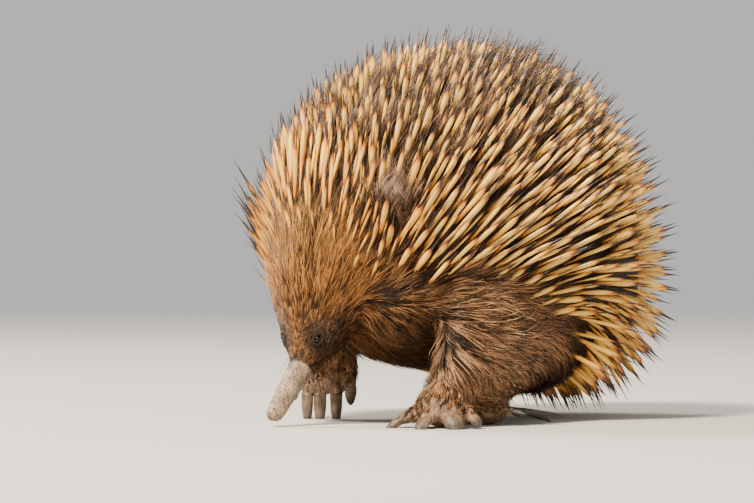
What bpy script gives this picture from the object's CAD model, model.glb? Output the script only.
"""The looks of a short-beaked echidna: one skin, its fur and spines, eyes, claws, light and camera.

Metres, +Z up. The animal faces -X and its left side is -Y. Its forms are sized from the same
modelling origin as the solids, and place() moves each piece into the solids' frame.
"""

import math
from collections import namedtuple

import bmesh
import bpy
import numpy as np
from mathutils import Matrix, Vector
from mathutils.bvhtree import BVHTree
from mathutils.kdtree import KDTree


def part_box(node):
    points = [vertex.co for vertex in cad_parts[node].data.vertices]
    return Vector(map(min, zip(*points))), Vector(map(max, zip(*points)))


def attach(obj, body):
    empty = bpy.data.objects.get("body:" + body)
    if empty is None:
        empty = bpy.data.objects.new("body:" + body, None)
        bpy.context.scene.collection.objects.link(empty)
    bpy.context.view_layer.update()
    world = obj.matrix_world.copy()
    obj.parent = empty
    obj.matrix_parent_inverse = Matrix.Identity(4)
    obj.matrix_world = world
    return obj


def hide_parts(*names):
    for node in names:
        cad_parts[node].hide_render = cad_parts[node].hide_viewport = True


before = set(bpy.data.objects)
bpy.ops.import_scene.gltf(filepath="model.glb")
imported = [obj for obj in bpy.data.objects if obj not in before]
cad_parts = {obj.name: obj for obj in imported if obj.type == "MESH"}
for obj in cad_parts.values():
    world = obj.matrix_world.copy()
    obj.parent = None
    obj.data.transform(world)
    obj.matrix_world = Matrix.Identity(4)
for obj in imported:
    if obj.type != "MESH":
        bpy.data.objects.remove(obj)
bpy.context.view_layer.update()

# The middle of the animal's box, from the origin of the sizes below
CENTRE = Vector((-0.00744096, -0.00614959, 0))
FLOOR = 0.0
SEED = 5
LEFT, RIGHT = -1, 1
SIDES = (("left", LEFT), ("right", RIGHT))
ANIMAL_LEFT = Vector((0, -1, 0))

# The photograph: its size, its scale at the animal, the pixel of the modelling origin, its angles
PHOTO = (754, 503)
METRES_PER_PIXEL = 0.00064
ORIGIN_PIXEL = (455, 419)
CAMERA_AZIMUTH = math.radians(-35)
CAMERA_ELEVATION = math.radians(1.1)
CAMERA_DISTANCE = 4.0
SENSOR = 36

# Trunk sections across X: place, lowest and highest skin, half-width
Section = namedtuple("Section", "x low high half")
# Rings along a limb or the head: centre, half-width, and the half-heights above and below it
Ring = namedtuple("Ring", "x y z side up down")


def table(kind, *rows):
    """Rows of one kind from their sizes in millimetres."""
    return tuple(kind(*(size / 1000 for size in row)) for row in rows)


TRUNK = table(
    Section,
    (-110, 92, 156, 34),
    (-96, 66, 187, 60),
    (-68, 46, 209, 77),
    (-22, 36, 222, 85),
    (28, 33, 222, 87),
    (70, 31, 203, 81),
    (100, 36, 168, 63),
    (116, 56, 126, 36),
)
TRUNK_MID = 0.45
TRUNK_POLE = 0.007
TRUNK_SQUARENESS = 0.92

BEAK = table(
    Ring,
    (-159, -26.5, 5.5, 5, 4.4, 4),
    (-156, -25.8, 9, 6.2, 5.7, 5.5),
    (-147, -23.5, 19.8, 7, 6.7, 6.5),
    (-137, -21, 31.2, 8.4, 8, 7.9),
    (-128.5, -19, 40, 10, 9.6, 9.6),
)
BEAK_BASE = BEAK[-1]
BEAK_TIP = Vector((-0.1606, -0.0269, 0.0036))
HEAD = (BEAK_BASE,) + table(
    Ring,
    (-123, -17, 53, 20.5, 16.5, 17),
    (-113.5, -13.5, 72, 31.5, 25, 24),
    (-101.5, -10, 95, 43, 35, 31),
    (-90, -5, 120, 54, 41, 36),
    (-71, -1, 144, 60, 42, 36),
)
HEAD_YAW = math.radians(14)
HEAD_LEFT = Vector((math.sin(HEAD_YAW), -math.cos(HEAD_YAW), 0))

# A leg's up is towards the tail and its down towards the beak; the skin lies inside by the fur
FORELEG = {
    LEFT: table(
        Ring,
        (-24, -54, 88, 20, 48, 39),
        (-30, -74, 69, 23, 52, 45),
        (-44, -86, 49, 21, 40, 39),
        (-62, -92, 31, 16.5, 20, 23),
        (-71, -94, 21, 14, 14, 14),
    ),
    RIGHT: table(
        Ring,
        (-42, 42, 90, 20, 30, 28),
        (-48, 54, 75, 20, 28, 26),
        (-58, 56, 60, 18, 20, 19),
        (-66, 50, 50, 16.5, 13, 13),
        (-68, 48, 46, 15, 11, 11),
    ),
}
HINDLEG = {
    LEFT: table(
        Ring,
        (48, -50, 76, 18, 34, 34),
        (34, -63, 56, 18, 30, 30),
        (9, -70, 37.5, 16.5, 20, 22),
        (-15, -73, 25, 15, 12.5, 15),
        (-25, -74, 19, 13, 11, 12),
    ),
    RIGHT: table(
        Ring,
        (64, 46, 76, 18, 32, 32),
        (66, 60, 56, 18, 28, 28),
        (62, 68, 38, 16.5, 20, 20),
        (55, 71, 24, 15, 15, 15),
        (51, 71.5, 18, 13, 12, 12),
    ),
}
LEG_COAT = (0.0060, 0.0060, 0.0050, 0.0030, 0.0015)
TAIL = table(
    Ring,
    (96, 0, 66, 17, 15, 15),
    (115, 0, 50, 15, 12, 12),
    (129, 0, 40, 10, 8, 8),
    (136, 0, 35, 4, 3.5, 3.5),
)
TAIL_TIP = Vector((0.1385, 0.0, 0.0332))

# A foot: the middle of its palm, the palm's half-length, half-width and half-height, the bearing of
# its middle digit in degrees from -X towards -Y, and how steeply the digits drop
Foot = namedtuple("Foot", "x y z long wide high bearing drop")
FOREFOOT = {
    LEFT: Foot(-0.0790, -0.0960, 0.0135, 0.0150, 0.0165, 0.0125, 34, 24),
    RIGHT: Foot(-0.0715, 0.0450, 0.0420, 0.0130, 0.0210, 0.0105, 50, 88),
}
HINDFOOT = {
    LEFT: Foot(-0.0350, -0.0750, 0.0110, 0.0200, 0.0155, 0.0115, 168, 5),
    RIGHT: Foot(0.0470, 0.0720, 0.0110, 0.0200, 0.0155, 0.0115, 192, 5),
}
# A digit, from the inner one out: its root's place across the palm in half-widths, its turn from the
# middle digit, its length out of the palm, its width, and its claw's length and curl
Digit = namedtuple("Digit", "across turn stub width claw curl")
PLANTED_DIGITS = (
    Digit(-0.60, -88, 0.0030, 0.0074, 0.0080, 14),
    Digit(-0.50, -60, 0.0070, 0.0094, 0.0100, 10),
    Digit(-0.10, -8, 0.0070, 0.0100, 0.0100, 10),
    Digit(0.35, 30, 0.0050, 0.0146, 0.0080, 24),
    Digit(0.75, 62, 0.0020, 0.0100, 0.0060, 14),
)
LIFTED_DIGITS = (
    Digit(-1.05, -9, 0.0100, 0.0086, 0.0090, 4),
    Digit(-0.50, -3, 0.0140, 0.0088, 0.0190, 5),
    Digit(0.12, 0, 0.0140, 0.0092, 0.0200, 5),
    Digit(0.60, 3, 0.0140, 0.0084, 0.0190, 5),
    Digit(1.08, 12, 0.0060, 0.0076, 0.0100, 4),
)
FORE_DIGITS = {LEFT: PLANTED_DIGITS, RIGHT: LIFTED_DIGITS}
HIND_DIGITS = (
    Digit(-0.55, -56, 0.0045, 0.0060, 0.0070, 6),
    Digit(-0.45, -20, -0.0040, 0.0070, 0.0340, 2),
    Digit(0.00, -2, -0.0040, 0.0068, 0.0330, 9),
    Digit(0.45, 22, 0.0010, 0.0062, 0.0190, 10),
    Digit(0.55, 48, 0.0025, 0.0056, 0.0120, 8),
)
# Where a digit's root lies across the palm and ahead of its middle, and where its stub starts
ROOT_ACROSS = 0.8
ROOT_AHEAD = 0.45
STUB_AHEAD = 0.55
STUB_SHAPE = ((-0.8, 0.9), (-0.1, 0.97), (0.35, 1.04), (0.75, 0.98), (1.0, 0.84))
CLAW_SHAPE = ((0.0, 1.0), (0.45, 0.92), (0.82, 0.60), (1.0, 0.2))
CLAW_WIDTH = 0.46
CLAW_SUNK = 0.003
CLAW_FLATNESS = 0.66

# The skin's mesh: the grid it is made on, and where it is made finer
SKIN_GRID = 0.0025
FACE_REACH = 0.034
EYE_REACH = (0.022, 0.011, 0.0077)
EAR_REACH = 0.020
FOOT_REACH = 0.025
# How it is smoothed, by a share so many times: everywhere and less on the beak and the feet, then on
# the body, then at the shoulder. How often the parts are blended, and how far a part is looked for
SKIN_SMOOTHING = (0.5, 3)
FINE_SHARE = 0.3
BODY_SMOOTHING = (0.6, 16)
SHOULDER_SMOOTHING = (0.7, 60)
PART_BLENDING = 14
PART_MARGIN = 0.004

# The face: the eye's place along the head and up its side, the opening between the lids
EYE_PLACE = 0.77
EYE_UP = math.radians(36)
EYEBALL = 0.0026
EYE_DEEPER = 0.0032
# Hollows in the skin: their half-sizes, depth and the height of the rim round them
LIDS = ((0.0027, 0.0020), 0.0018, 0.0009)
NOSTRIL = ((0.0015, 0.0009), 0.0013, 0.0003)
MOUTH = ((0.0050, 0.0012), 0.0009, 0.0002)
EAR_SLIT = ((0.0028, 0.0130), 0.0055, 0.0028)
# In half-sizes of the hollow: where its slope runs, where its rim lies, and a value for far points
HOLLOW_EDGE = (0.55, 1.05)
RIM_PLACE = 1.25
RIM_WIDTH = 0.45
HOLLOW_OUTSIDE = 9
# Points further than this above or below the hollow's middle are left alone
HOLLOW_NEAR = 0.008
LID_FOLDS = 0.00028
# Creases round and across the beak, deeper at its base, and across the digits: how far apart they
# are, how deep, and where they fade
RING_APART = 0.0023
CROSS_APART = 0.0030
BEAK_FOLDS = 0.00012
BASE_FOLDS = 0.00022
BASE_REACH = (0.003, 0.016)
FOOT_APART = 0.0024
FOOT_FOLDS = 0.00080
FOOT_FOLDED = (0.006, 0.013)
NOSTRIL_PLACE = 0.75
MOUTH_PLACE = 0.45
BROW = (-0.133, -0.012, 0.112)
BROW_REACH = 0.032
EYE_PATCH = 0.0142
LID_PATCH = 0.0062
# How far down the beak the fur of the head streams from
HEAD_FLOW_AHEAD = 0.014
# The fur on top of the back, which stands up between the spines, from where to where it rises
CREST = (0.12, 0.20)
CREST_LONGER = 0.007
CREST_DENSER = 1.2
CREST_TOP = (0.18, 0.215)
CREST_ALONG = (-0.03, 0.01)
# Lengths of the fur: an even one, or its start, how much it rises by, and between which values
FACE_LENGTH = (0.0048, 0.0150, 0.012, 0.055)
EYE_SHORTER = (0.30, 0.70, 0.005, 0.019)
CROWN_SHORTER = 0.45
TRUNK_LENGTH = 0.028
MANTLE_SHORTER = 0.008
FORELEG_LENGTH = (0.012, 0.018, 0.02, 0.06)
HINDLEG_LENGTH = (0.014, 0.010, 0.03, 0.06)
TAIL_LENGTH = 0.016
FOOT_LENGTH = 0.009
LEAST_LENGTH = 0.0015
# The hair's half-width, and what is added in the mantle and in the long fur
HAIR_HALF = (0.00019, 0.00005, 0.00007)
# Its lift, and what is added in the spines, on the face and the crest, at the ear and in the fringe
HAIR_LIFT = (0.16, 0.12, 0.06, 0.44, 0.30, 0.12)
# Where the fur ends: down the beak, at the feet and round the eye
BARE_FROM = (0.0048, 0.0085)
BARE_SHARE = (0.15, 0.60)
BARE_FOOT = (0.2, 0.6)
EYE_COVER = (0.1, 0.9, 0.0028, 0.0050)
# The long fur that hangs from the belly's edge and the thighs
FRINGE_LENGTH = 0.030
FRINGE_ALONG = (-0.012, 0.010)
FRINGE_UNDER = (0.044, 0.066)
EAR_FROM = Vector((-0.075, 0, 0.133))
EAR_AHEAD = 0.25
EAR_TUFT = 0.010
EAR_LENGTH = 0.017
EAR_CLEAR = 0.014

# The spines' ways are those of the solids, and their edges lie as low or a little lower
FAN_POINT = np.array((-0.120, 0, 0.020))
FAN_SPREAD = 0.5
SPINE_LIFT = 0.30
SPINE_LEAST_LIFT = math.sin(math.radians(26))
RUMP_ALONG = (0.01, 0.07)
RUMP_UNDER = (0.03, 0.12)
RUMP_DROP = 1.7
NECK_ALONG = (0.05, 0.10)
NECK_UNDER = (0.10, 0.18)
NECK_LIFT = 0.30
CROWN_LIFT = 0.40
CROWN_TOP = 0.136
CROWN_EDGE = 0.120
CROWN_FALL = 0.030
CROWN_SIDES = (0.020, 0.045)
CROWN_FAR_FALL = 0.046
MANTLE_EDGE = 0.081
MANTLE_FALL = 0.058
MANTLE_ALONG = (-0.02, 0.08)
MANTLE_RISE = 0.015
FAR_ALONG = (0.05, 0.09)
FAR_SIDE = (0.0, 0.020)
FAR_UNDER = (0.11, 0.15)
FAR_FALL = 0.045
FAR_WAY = (-0.52, 0.37, 1.0)
RUMP_FROM = 0.035
RUMP_TOP = 0.070
RUMP_APART = 0.03

# One kind of spine: how many to try, the room round each root, the height that the tips stand above
# the skin, the least and most length, the half-width
Growth = namedtuple("Growth", "tries room height least most half")
LONG_SPINES = Growth(9000, 0.0096, 0.0195, 0.032, 0.058, 0.00175)
MIDDLE_SPINES = Growth(12000, 0.0068, 0.0175, 0.026, 0.048, 0.00122)
THIN_SPINES = Growth(9000, 0.0052, 0.0165, 0.018, 0.038, 0.0007)
CROWN_SPINES = Growth(3600, 0.0082, 0.0135, 0.026, 0.036, 0.0011)
RUMP_SPINES = Growth(6000, 0.0070, 0.0280, 0.034, 0.056, 0.0016)

# The rounding that joins the near foreleg's front to the trunk: middle, half-sizes, smoothed reach
SHOULDER = Vector((-0.080, -0.056, 0.074))
SHOULDER_SIZE = (0.028, 0.021, 0.026)
SHOULDER_REACH = 0.045

# The point on the shoulder from which the fur of the foreleg and the flank streams
FLOW_SOURCE = (-0.094, 0.0, 0.082)
FLOW_BACK = 0.016
FLOW_LEVELS = 0.95
FLOW_REACH = (0.045, 0.100)
WRIST_UNDER = (0.018, 0.042)
WRIST_ALONG = (0.01, -0.03)
WRIST_DROP = 1.2
THIGH_DROP = (0.05, 1.3)
THIGH_UNDER = (0.015, 0.060)
FRINGE_WAY = (0.35, 0, -1.0)
EAR_WAY = (-0.55, 0, 0.85)
TAIL_WAY = (0.8, 0, -0.5)
FOOT_FALL = (0, 0, -0.25)

# Palette, as linear colours
SPINE_COLOURS = {
    "root": (0.34, 0.110, 0.016),
    "gold": (0.86, 0.38, 0.045),
    "cream": (1.00, 0.64, 0.150),
    "rust": (0.34, 0.105, 0.020),
    "tip": (0.034, 0.026, 0.025),
}
# The coat's colours, laid over one another in this order: the layer's field, the hair's root and tip,
# and the bare skin, each left as it is where a layer has None
COAT_COLOURS = (
    ("body", (0.030, 0.013, 0.006), (0.29, 0.135, 0.048), (0.030, 0.015, 0.008)),
    ("face", (0.075, 0.028, 0.008), (0.47, 0.190, 0.043), (0.075, 0.034, 0.014)),
    ("cheek", None, (0.22, 0.085, 0.024), None),
    ("spiny", (0.016, 0.008, 0.005), (0.16, 0.080, 0.040), (0.016, 0.009, 0.006)),
    ("crest", None, (0.36, 0.215, 0.140), None),
    ("brow", None, (0.60, 0.29, 0.082), None),
    ("ear", None, (0.52, 0.33, 0.22), None),
    ("beak", None, None, (0.46, 0.320, 0.205)),
    ("foreleg", (0.020, 0.008, 0.003), (0.62, 0.320, 0.155), None),
    ("hindleg", (0.011, 0.005, 0.002), (0.10, 0.042, 0.013), None),
    ("foot", None, None, (0.39, 0.235, 0.135)),
    ("underside", None, (0.085, 0.034, 0.010), None),
    ("eye", (0.020, 0.011, 0.006), (0.085, 0.045, 0.022), None),
    ("lids", None, None, (0.040, 0.029, 0.023)),
)
FOLD_DARKNESS = 0.80
CLAW_COLOURS = {
    "fore": ((0.17, 0.108, 0.066), (0.085, 0.062, 0.046)),
    "hind": ((0.040, 0.032, 0.028), (0.012, 0.010, 0.009)),
}
# Materials: roughness, specular, the textures that make the tint lighter and darker, and the relief.
# A texture has its scale, its detail if it isn't small cells, and its stretch, then the values that it
# turns into and those that it turns from. A relief has its texture, strength and depth
MATERIALS = {
    "fur": (0.50, 0.25, [((260, 4), 0.70, 1.30)], None),
    "spine": (0.30, 0.50, [((520, 5), 0.80, 1.20)], ((900, 3), 0.12, 0.0002)),
    "skin": (
        0.60,
        0.40,
        [
            ((110, 5), 0.48, 1.36, 0.30, 0.70),
            ((520, 4, 0.22), 0.50, 1.36, 0.30, 0.70),
            ((430,), 0.62, 1.06, 0.0, 0.10),
            ((1100,), 0.60, 1.08, 0.0, 0.16),
        ],
        ((900,), 0.9, 0.0010),
    ),
    "claw": (
        0.44,
        0.45,
        [((130, 4), 0.55, 1.40, 0.30, 0.70), ((520, 4, 0.22), 0.50, 1.40, 0.30, 0.70)],
        ((500, 6), 0.75, 0.0009),
    ),
}
EYE_COLOURS = ((0.004, 0.003, 0.002), (0.012, 0.007, 0.005))
FLOOR_COLOURS = ((0.50, 0.48, 0.455), (0.54, 0.52, 0.495))
SKY = (0.95, 0.93, 0.90)
SKY_STRENGTH = 0.64
FLOOR_FADE = (0.45, 3.2)
# Lamps: name, place, size, watts, colour
LAMPS = (
    ("key", (-1.7, -0.55, 2.2), 0.5, 240, (1.0, 0.89, 0.72)),
    ("fill", (0.9, -2.4, 0.9), 1.8, 10, (1.0, 0.94, 0.85)),
    ("rim", (-0.5, 1.9, 1.9), 0.8, 95, (1.0, 0.92, 0.80)),
)


def spline(rows, steps):
    """Rows of numbers on a smooth curve through the given rows, steps of them to each interval."""
    rows = np.array(rows, float)
    row = np.vstack([2 * rows[0] - rows[1], rows, 2 * rows[-1] - rows[-2]])
    out = []
    for i in range(1, len(row) - 2):
        p0, p1, p2, p3 = row[i - 1 : i + 3]
        for t in np.linspace(0, 1, steps, endpoint=False):
            cubic = (3 * p1 - p0 - 3 * p2 + p3) * t**3
            square = (2 * p0 - 5 * p1 + 4 * p2 - p3) * t**2
            out.append(0.5 * (2 * p1 + (p2 - p0) * t + square + cubic))
    out.append(rows[-1])
    return np.array(out)


def smooth(low, high, value):
    """A smooth rise from 0 at low to 1 at high, for a number or an array."""
    t = np.clip((np.asarray(value, float) - low) / (high - low), 0, 1)
    return t * t * (3 - 2 * t)


def rise(start, more, low, high, value):
    """A smooth rise from start by so much more, between low and high of the value."""
    return start + more * smooth(low, high, value)


def unit(rows):
    """Each row at length one."""
    return rows / np.maximum(np.linalg.norm(rows, axis=-1, keepdims=True), 1e-12)


def dot(a, b):
    return (a * b).sum(axis=-1)


def flat(ways, normals):
    """The ways laid flat on the skin, at length one."""
    return unit(ways - normals * dot(ways, normals)[:, None])


def ring_points(centre, lateral, tangent, side, up, down, count, squareness=1.0):
    """One closed ring of points round a centre; lateral points to the animal's left."""
    across = (lateral - tangent * lateral.dot(tangent)).normalized()
    dorsal = across.cross(tangent)
    points = []
    for k in range(count):
        angle = 2 * math.pi * k / count
        c, s = math.cos(angle), math.sin(angle)
        c = math.copysign(abs(c) ** squareness, c)
        s = math.copysign(abs(s) ** squareness, s)
        points.append(centre + across * (side * c) + dorsal * ((up if s > 0 else down) * s))
    return points


def add_object(name, data):
    """A scene object with this data."""
    obj = bpy.data.objects.new(name, data)
    bpy.context.scene.collection.objects.link(obj)
    return obj


def object_of(name, mesh):
    """A scene object with this bmesh as its data."""
    bmesh.ops.recalc_face_normals(mesh, faces=mesh.faces)
    data = bpy.data.meshes.new(name)
    mesh.to_mesh(data)
    mesh.free()
    return add_object(name, data)


def closed_mesh(name, rings, start=None, end=None):
    """A closed mesh through the rings, its ends drawn to a point or capped flat."""
    mesh = bmesh.new()
    loops = [[mesh.verts.new(p) for p in ring] for ring in rings]
    count = len(loops[0])
    for low, high in zip(loops, loops[1:]):
        for k in range(count):
            mesh.faces.new((low[k], low[(k + 1) % count], high[(k + 1) % count], high[k]))
    for loop, point in ((loops[0], start), (loops[-1], end)):
        if point is None:
            mesh.faces.new(loop)
        else:
            tip = mesh.verts.new(point)
            for k in range(count):
                mesh.faces.new((loop[k], loop[(k + 1) % count], tip))
    return object_of(name, mesh)


def loft(name, sections, steps, count, lateral, start=None, end=None):
    """A closed tube through Ring sections."""
    rows = spline(sections, steps)
    centres = [Vector(row[:3]) for row in rows]
    rings = []
    for i, row in enumerate(rows):
        ahead = centres[min(i + 1, len(rows) - 1)]
        behind = centres[max(i - 1, 0)]
        tangent = (ahead - behind).normalized()
        rings.append(ring_points(centres[i], lateral, tangent, *row[3:], count))
    return closed_mesh(name, rings, start, end)


def ellipsoid(name, centre, axes, segments, rings):
    """A closed ellipsoid on three half-axes."""
    mesh = bmesh.new()
    bmesh.ops.create_uvsphere(mesh, u_segments=segments, v_segments=rings, radius=1)
    turn = Matrix(axes).transposed().to_4x4()
    bmesh.ops.transform(mesh, matrix=Matrix.Translation(centre) @ turn, verts=mesh.verts)
    return object_of(name, mesh)


def axis_frame(sections, place):
    """The centre of the head at a place along its sections, with its left, dorsal and rear ways."""
    steps = 20
    rows = spline(sections, steps)
    i = min(int(round(place * steps)), len(rows) - 2)
    centre, ahead = Vector(rows[i][:3]), Vector(rows[i + 1][:3])
    rear = (ahead - centre).normalized()
    left = (HEAD_LEFT - rear * HEAD_LEFT.dot(rear)).normalized()
    return centre, left, left.cross(rear), rear


def foot_frame(foot, side, turn=0):
    """The ways forward, outward and up of a foot, or of a digit turned outward by some degrees."""
    bearing, drop, turn = (math.radians(angle) for angle in (foot.bearing, foot.drop, turn))
    ahead = Vector((-math.cos(bearing), -math.sin(bearing), 0))
    aside = Vector((math.sin(bearing), -math.cos(bearing), 0)) * -side
    plan = ahead * math.cos(turn) + aside * math.sin(turn)
    outward = aside * math.cos(turn) - ahead * math.sin(turn)
    up = Vector((0, 0, 1))
    forward = plan * math.cos(drop) - up * math.sin(drop)
    return forward, outward, plan * math.sin(drop) + up * math.cos(drop)


def digit_line(foot, side, digit):
    """A digit's root on the palm's edge, and its ways out, across and up."""
    outward = foot_frame(foot, side)[1]
    way, across, dorsal = foot_frame(foot, side, digit.turn)
    root = Vector(foot[:3]) + way * (ROOT_AHEAD * foot.long)
    root += outward * (digit.across * foot.wide * ROOT_ACROSS)
    return root, way, across, dorsal


def feet():
    """Each foot's name, size, side and digits."""
    for name, side in SIDES:
        yield f"fore_{name}", FOREFOOT[side], side, FORE_DIGITS[side]
        yield f"hind_{name}", HINDFOOT[side], side, HIND_DIGITS


# The skin's forms, each a closed mesh

TRUNK_PART, HEAD_PART, BEAK_PART, FORELEG_PART, HINDLEG_PART, TAIL_PART, FOOT_PART = range(7)


def make_trunk():
    rings = []
    rows = spline([(s.x, s.low, s.high, s.half) for s in TRUNK], 5)
    for x, low, high, half in rows:
        mid = low + TRUNK_MID * (high - low)
        sizes = (half, high - mid, mid - low)
        centre, rear = Vector((x, 0, mid)), Vector((1, 0, 0))
        rings.append(ring_points(centre, ANIMAL_LEFT, rear, *sizes, 64, TRUNK_SQUARENESS))
    first, last = rows[0], rows[-1]
    start = Vector((first[0] - TRUNK_POLE, 0, (first[1] + first[2]) / 2))
    end = Vector((last[0] + TRUNK_POLE, 0, (last[1] + last[2]) / 2))
    return closed_mesh("trunk", rings, start, end)


def make_leg(sections):
    """A leg's skin, inside its fur."""
    rows = []
    for ring, coat in zip(sections, LEG_COAT):
        rows.append(Ring(*ring[:3], *(size - coat for size in ring[3:])))
    return loft("leg", rows, 5, 36, ANIMAL_LEFT)


def make_foot(foot, side, digits):
    """The palm and the digits' stubs of one foot, as separate closed meshes."""
    forward, outward, dorsal = foot_frame(foot, side)
    axes = (forward * foot.long, outward * foot.wide, dorsal * foot.high)
    forms = [ellipsoid("palm", Vector(foot[:3]), axes, 32, 20)]
    for digit in digits:
        root, way, across, _ = digit_line(foot, side, digit)
        half = digit.width / 2
        reach = STUB_AHEAD * foot.long + digit.stub
        rows = []
        for place, taper in STUB_SHAPE:
            size = half * taper
            rows.append(Ring(*(root + way * (place * reach)), size, size * 0.88, size * 0.85))
        tip = root + way * (reach + 0.25 * half)
        forms.append(loft("stub", rows, 4, 20, across, end=tip))
    return forms


def skin_forms():
    """Every closed form under the coat, with the part of the body it belongs to."""
    forms = [
        (TRUNK_PART, make_trunk()),
        (HEAD_PART, loft("head", HEAD, 6, 56, HEAD_LEFT)),
        (BEAK_PART, loft("beak", BEAK, 8, 40, HEAD_LEFT, start=BEAK_TIP)),
        (TAIL_PART, loft("tail", TAIL, 6, 28, ANIMAL_LEFT, end=TAIL_TIP)),
    ]
    axes = [Vector(row) for row in np.diag(SHOULDER_SIZE)]
    forms.append((TRUNK_PART, ellipsoid("shoulder", SHOULDER, axes, 40, 24)))
    for _, side in SIDES:
        forms.append((FORELEG_PART, make_leg(FORELEG[side])))
        forms.append((HINDLEG_PART, make_leg(HINDLEG[side])))
    for _, foot, side, digits in feet():
        forms += [(FOOT_PART, form) for form in make_foot(foot, side, digits)]
    return forms


def tree_of(obj):
    data = obj.data
    return BVHTree.FromPolygons([v.co for v in data.vertices], [p.vertices for p in data.polygons])


def numbers(items, name, width, kind):
    """One property of a mesh's items as an array with a row for each."""
    values = np.empty(len(items) * width, kind)
    items.foreach_get(name, values)
    return values.reshape(-1, width)


class Skin:
    """The skin's points, triangles and edges as arrays, and the part that each point belongs to."""

    def __init__(self, obj):
        self.obj = obj
        data = obj.data
        data.calc_loop_triangles()
        self.points = numbers(data.vertices, "co", 3, float)
        self.triangles = numbers(data.loop_triangles, "vertices", 3, np.int32)
        self.edges = numbers(data.edges, "vertices", 2, np.int32)
        self.neighbours = np.bincount(self.edges.ravel(), minlength=len(self.points))[:, None]

    def write(self):
        """Puts the points back into the mesh."""
        self.obj.data.vertices.foreach_set("co", self.points.ravel())
        self.obj.data.update()

    def mean_round(self, values):
        """Each point's mean of its neighbours' values."""
        first, second = self.edges.T
        total = np.empty_like(values)
        for k in range(values.shape[1]):
            total[:, k] = np.bincount(first, values[second, k], len(values))
            total[:, k] += np.bincount(second, values[first, k], len(values))
        return total / self.neighbours

    def relax(self, share, rounds):
        """Smooths the points by a share each, between 0 and 1."""
        for _ in range(rounds):
            self.points += share[:, None] * (self.mean_round(self.points) - self.points)

    def faces(self):
        """Each triangle's way out, as long as twice its area."""
        first, second, third = (self.points[self.triangles[:, k]] for k in range(3))
        return np.cross(second - first, third - first)

    def normals(self):
        faces = self.faces()
        total = np.zeros_like(self.points)
        for k in range(3):
            corner = self.triangles[:, k]
            for axis in range(3):
                total[:, axis] += np.bincount(corner, faces[:, axis], len(self.points))
        return unit(total)

    def gap(self, spot):
        """Each point's distance from a spot."""
        return np.linalg.norm(self.points - np.array(spot), axis=1)


def refine(obj, region):
    """Divides the edges whose points all lie in the region in two."""
    mesh = bmesh.new()
    mesh.from_mesh(obj.data)
    edges = [e for e in mesh.edges if region[e.verts[0].index] and region[e.verts[1].index]]
    bmesh.ops.subdivide_edges(mesh, edges=edges, cuts=1, use_grid_fill=True)
    mesh.to_mesh(obj.data)
    mesh.free()


def eye_frame(side):
    """The middle of the eyeball, and the ways along, up and out of the face there."""
    name = "eye_left" if side == LEFT else "eye_right"
    low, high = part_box(name)
    _, left, dorsal, rear = axis_frame(HEAD, EYE_PLACE)
    outward = (left * -side * math.cos(EYE_UP) + dorsal * math.sin(EYE_UP)).normalized()
    middle = (low + high) / 2 + CENTRE - outward * EYE_DEEPER
    along = (rear - outward * rear.dot(outward)).normalized()
    return middle, along, outward.cross(along), outward


def ear_frame(side, skin_tree):
    """The middle of the ear's slit on the skin, and the ways ahead, up and out there."""
    aim = Vector((-EAR_AHEAD, side, 0)).normalized()
    spot, normal, _, _ = skin_tree.ray_cast(EAR_FROM + aim * 0.2, -aim)
    upward = (Vector((0, 0, 1)) - normal * normal.z).normalized()
    return spot, upward.cross(normal) * -side, upward, normal


def make_skin():
    """One closed skin over all the forms, finer at the face, the beak, the ears and the feet."""
    forms = skin_forms()
    mesh = bmesh.new()
    for _, form in forms:
        mesh.from_mesh(form.data)
    obj = object_of("skin", mesh)
    remesh = obj.modifiers.new("one_skin", "REMESH")
    remesh.mode = "VOXEL"
    remesh.voxel_size = SKIN_GRID
    graph = bpy.context.evaluated_depsgraph_get()
    obj.data = bpy.data.meshes.new_from_object(obj.evaluated_get(graph))
    obj.modifiers.clear()
    beak_middle = (Vector(BEAK_BASE[:3]) + BEAK_TIP) / 2
    for level in range(len(EYE_REACH)):
        skin = Skin(obj)
        tree = tree_of(obj)
        spots = [(beak_middle, FACE_REACH)] if level < 2 else []
        for _, side in SIDES:
            spots.append((eye_frame(side)[0], EYE_REACH[level]))
            if level < 2:
                spots.append((FOREFOOT[side][:3], FOOT_REACH))
            if level == 0:
                spots.append((ear_frame(side, tree)[0], EAR_REACH))
                spots.append((HINDFOOT[side][:3], FOOT_REACH))
        refine(obj, np.any([skin.gap(spot) < reach for spot, reach in spots], axis=0))
    skin = Skin(obj)
    label_parts(skin, forms)
    for _, form in forms:
        bpy.data.objects.remove(form)
    return skin


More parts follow.
